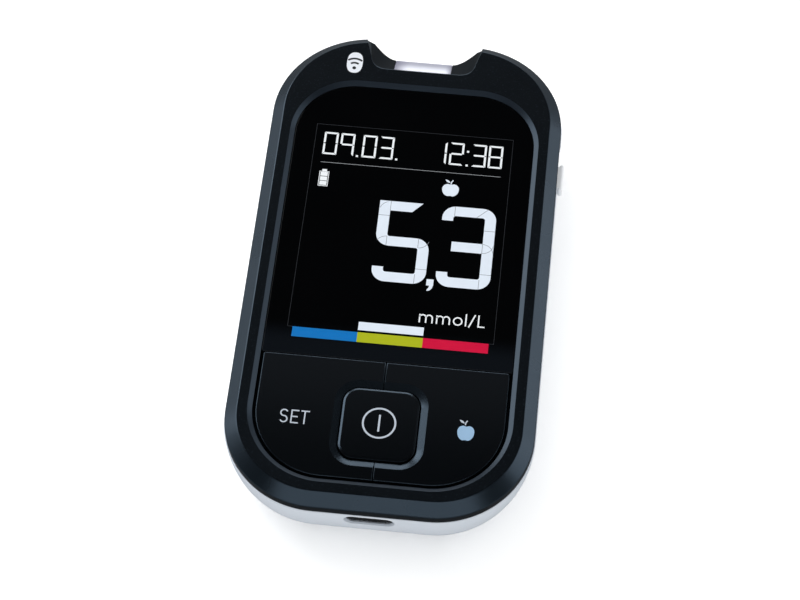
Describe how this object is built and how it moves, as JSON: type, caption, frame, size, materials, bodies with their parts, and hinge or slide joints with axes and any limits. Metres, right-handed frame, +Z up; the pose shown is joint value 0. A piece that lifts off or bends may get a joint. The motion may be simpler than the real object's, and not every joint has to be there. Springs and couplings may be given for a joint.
{
  "type": "blood glucose meter",
  "caption": "Hand-held blood glucose meter with a tall dark display, two wing keys round a square power key, a strip port in a finger notch and a boat-shaped back.",
  "frame": {"origin": "middle of the face that it rests on, in the plane of left and right symmetry", "axes": "+Y towards the strip port, +X to the right of someone who reads the display, +Z up out of the display"},
  "size_m": [0.0604, 0.1075, 0.0204],
  "materials": {
    "black_shell": "fine matt grain, satin chamfer",
    "white_shell": "satin moulded plastic",
    "door_white": "satin moulded plastic",
    "window_black": "polished, printed black behind",
    "key_black": "semi-gloss with printed signs",
    "port_white": "translucent, lit from behind",
    "display_glass": "dark liquid crystal cell with pale segments",
    "frame_plastic": "moulded",
    "light_guide": "clear acrylic",
    "zebra_rubber": "striped silicone",
    "led_body": "cast",
    "board_green": "solder mask",
    "steel": "stamped or turned",
    "gold_contact": "plated",
    "chip_black": "moulded",
    "shield_tin": "tinned",
    "dark_plastic": "moulded",
    "cell_sleeve": "printed sleeve without lettering",
    "plate_grey": "blank film"
  },
  "bodies": {
    "case": {"upper_shell": "black_shell", "lower_shell": "white_shell", "rating_plate": "plate_grey", "display_lens": "window_black", "lcd_cell": "display_glass", "lcd_frame": "frame_plastic", "backlight_guide": "light_guide", "zebra_strip": "zebra_rubber", "backlight_led_1": "led_body", "backlight_led_2": "led_body", "backlight_led_3": "led_body", "main_board": "board_green", "power_dome": "steel", "set_dome": "steel", "meal_dome": "steel", "processor_chip": "chip_black", "analog_chip": "chip_black", "radio_module": "shield_tin", "clock_crystal": "shield_tin", "buzzer": "dark_plastic", "port_led_1": "led_body", "port_led_2": "led_body", "usb_shell": "steel", "usb_tongue": "dark_plastic", "battery_1": "cell_sleeve", "battery_2": "cell_sleeve", "bridge_contact": "steel", "positive_contact": "steel", "negative_contact": "steel", "strip_port": "port_white", "strip_connector": "dark_plastic", "strip_contact_1": "gold_contact", "strip_contact_2": "gold_contact", "strip_contact_3": "gold_contact", "strip_contact_4": "gold_contact", "eject_spring": "steel", "case_screw_1": "steel", "case_screw_2": "steel", "case_screw_3": "steel", "case_screw_4": "steel", "board_screw_1": "steel", "board_screw_2": "steel", "board_screw_3": "steel", "board_screw_4": "steel"},
    "power_key": {"power_key": "key_black"},
    "set_key": {"set_key": "key_black"},
    "meal_key": {"meal_key": "key_black"},
    "eject_slider": {"eject_slider": "white_shell"},
    "battery_door": {"battery_door": "door_white"}
  },
  "joints": [
    {"name": "power_press", "type": "slide", "parent": "case", "child": "power_key", "axis": [0, 0, -1], "range_m": [0, 0.0004], "stiffness_N_per_m": 1500, "springref_m": -0.0001, "deforming": ["power_dome"]},
    {"name": "set_press", "type": "slide", "parent": "case", "child": "set_key", "axis": [0, 0, -1], "range_m": [0, 0.0004], "stiffness_N_per_m": 1500, "springref_m": -0.0001, "deforming": ["set_dome"]},
    {"name": "meal_press", "type": "slide", "parent": "case", "child": "meal_key", "axis": [0, 0, -1], "range_m": [0, 0.0004], "stiffness_N_per_m": 1500, "springref_m": -0.0001, "deforming": ["meal_dome"]},
    {"name": "eject_slide", "type": "slide", "parent": "case", "child": "eject_slider", "axis": [0, 1, 0], "range_m": [0, 0.0045], "stiffness_N_per_m": 120, "springref_m": -0.002, "deforming": ["eject_spring"]},
    {"name": "door_slide", "type": "slide", "parent": "case", "child": "battery_door", "axis": [0, -1, 0], "range_m": [0, 0.05]}
  ]
}
